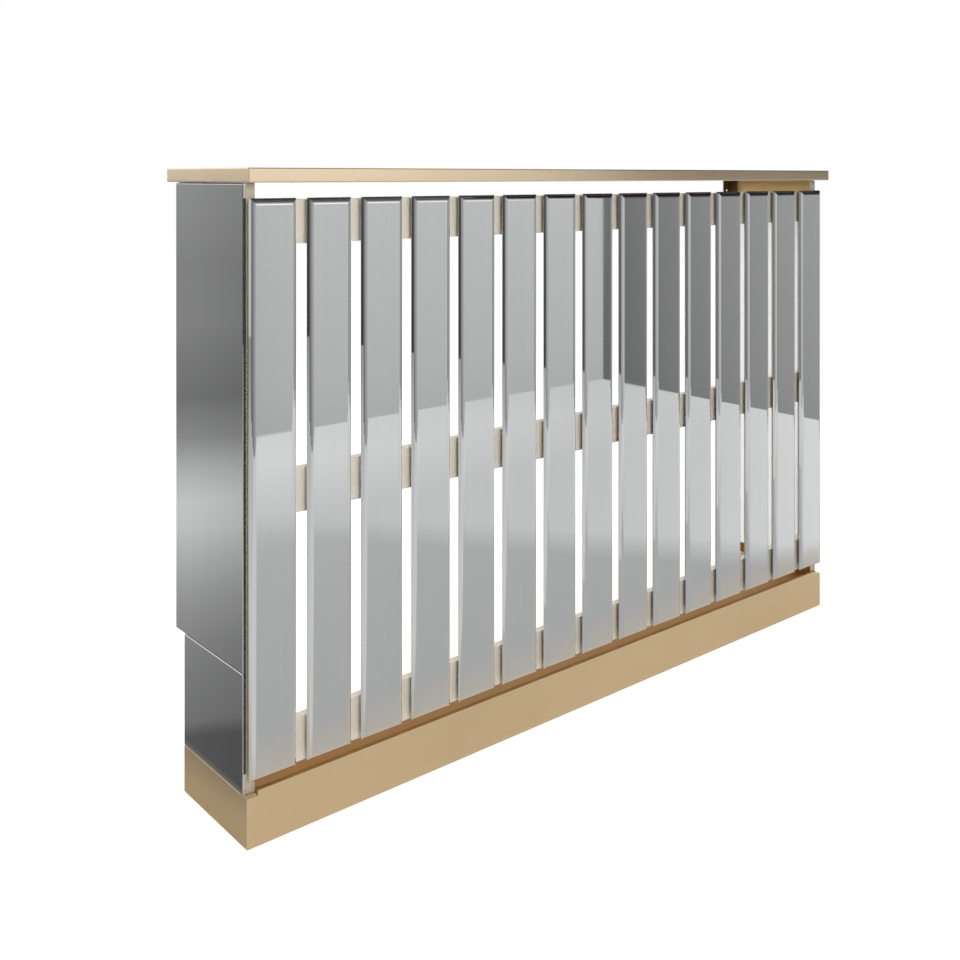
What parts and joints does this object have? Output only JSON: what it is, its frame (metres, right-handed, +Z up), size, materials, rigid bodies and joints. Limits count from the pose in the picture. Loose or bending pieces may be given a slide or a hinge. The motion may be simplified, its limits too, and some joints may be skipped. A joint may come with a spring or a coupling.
{
  "type": "radiator cover cabinet",
  "caption": "Mirror-clad radiator cover with a gold shelf and plinth, an open back, and a lift-off front grille of upright bevelled mirror strips on gold rails.",
  "frame": {"origin": "on the floor, at the middle of the overall width and depth", "axes": "+X to the right as seen from the front, +Y towards the wall, +Z up; the front faces -Y"},
  "size_m": [1.207, 0.225, 0.815],
  "materials": {
    "gold_lacquer": "champagne-gold lacquer with a satin sheen on board",
    "mirror_glass": "polished silvered glass with rounded bevels",
    "silver_backing": "grey primed board, hidden behind the strips",
    "bronze_steel": "dark bronze powder coat",
    "catch_plastic": "dark moulded plastic",
    "bright_steel": "zinc-plated steel"
  },
  "bodies": {
    "cabinet": {"top_shelf": "gold_lacquer", "plinth_front": "gold_lacquer", "plinth_lip": "gold_lacquer", "plinth_end_left": "gold_lacquer", "plinth_end_right": "gold_lacquer", "plinth_ledge": "gold_lacquer", "side_board_left": "gold_lacquer", "side_board_right": "gold_lacquer", "side_mirror_upper_left": "mirror_glass", "side_mirror_lower_left": "mirror_glass", "corner_bracket_left": "bronze_steel", "magnetic_catch_left": "catch_plastic", "grille_cleat_top_left": "gold_lacquer", "grille_pin_top_left": "bright_steel", "grille_cleat_bottom_left": "gold_lacquer", "grille_pin_bottom_left": "bright_steel", "side_mirror_upper_right": "mirror_glass", "side_mirror_lower_right": "mirror_glass", "corner_bracket_right": "bronze_steel", "magnetic_catch_right": "catch_plastic", "grille_cleat_top_right": "gold_lacquer", "grille_pin_top_right": "bright_steel", "grille_cleat_bottom_right": "gold_lacquer", "grille_pin_bottom_right": "bright_steel"},
    "grille": {"mirror_strip_01": "mirror_glass", "mirror_strip_02": "mirror_glass", "mirror_strip_03": "mirror_glass", "mirror_strip_04": "mirror_glass", "mirror_strip_05": "mirror_glass", "mirror_strip_06": "mirror_glass", "mirror_strip_07": "mirror_glass", "mirror_strip_08": "mirror_glass", "mirror_strip_09": "mirror_glass", "mirror_strip_10": "mirror_glass", "mirror_strip_11": "mirror_glass", "mirror_strip_12": "mirror_glass", "mirror_strip_13": "mirror_glass", "mirror_strip_14": "mirror_glass", "mirror_strip_15": "mirror_glass", "strip_backing_01": "silver_backing", "strip_backing_02": "silver_backing", "strip_backing_03": "silver_backing", "strip_backing_04": "silver_backing", "strip_backing_05": "silver_backing", "strip_backing_06": "silver_backing", "strip_backing_07": "silver_backing", "strip_backing_08": "silver_backing", "strip_backing_09": "silver_backing", "strip_backing_10": "silver_backing", "strip_backing_11": "silver_backing", "strip_backing_12": "silver_backing", "strip_backing_13": "silver_backing", "strip_backing_14": "silver_backing", "strip_backing_15": "silver_backing", "rail_top": "gold_lacquer", "rail_middle": "gold_lacquer", "rail_bottom": "gold_lacquer", "strike_plate_left": "bright_steel", "strike_plate_right": "bright_steel"}
  },
  "joints": [
    {"name": "grille_pull", "type": "slide", "parent": "cabinet", "child": "grille", "axis": [0, -1, 0], "range_m": [0, 0.08]}
  ]
}
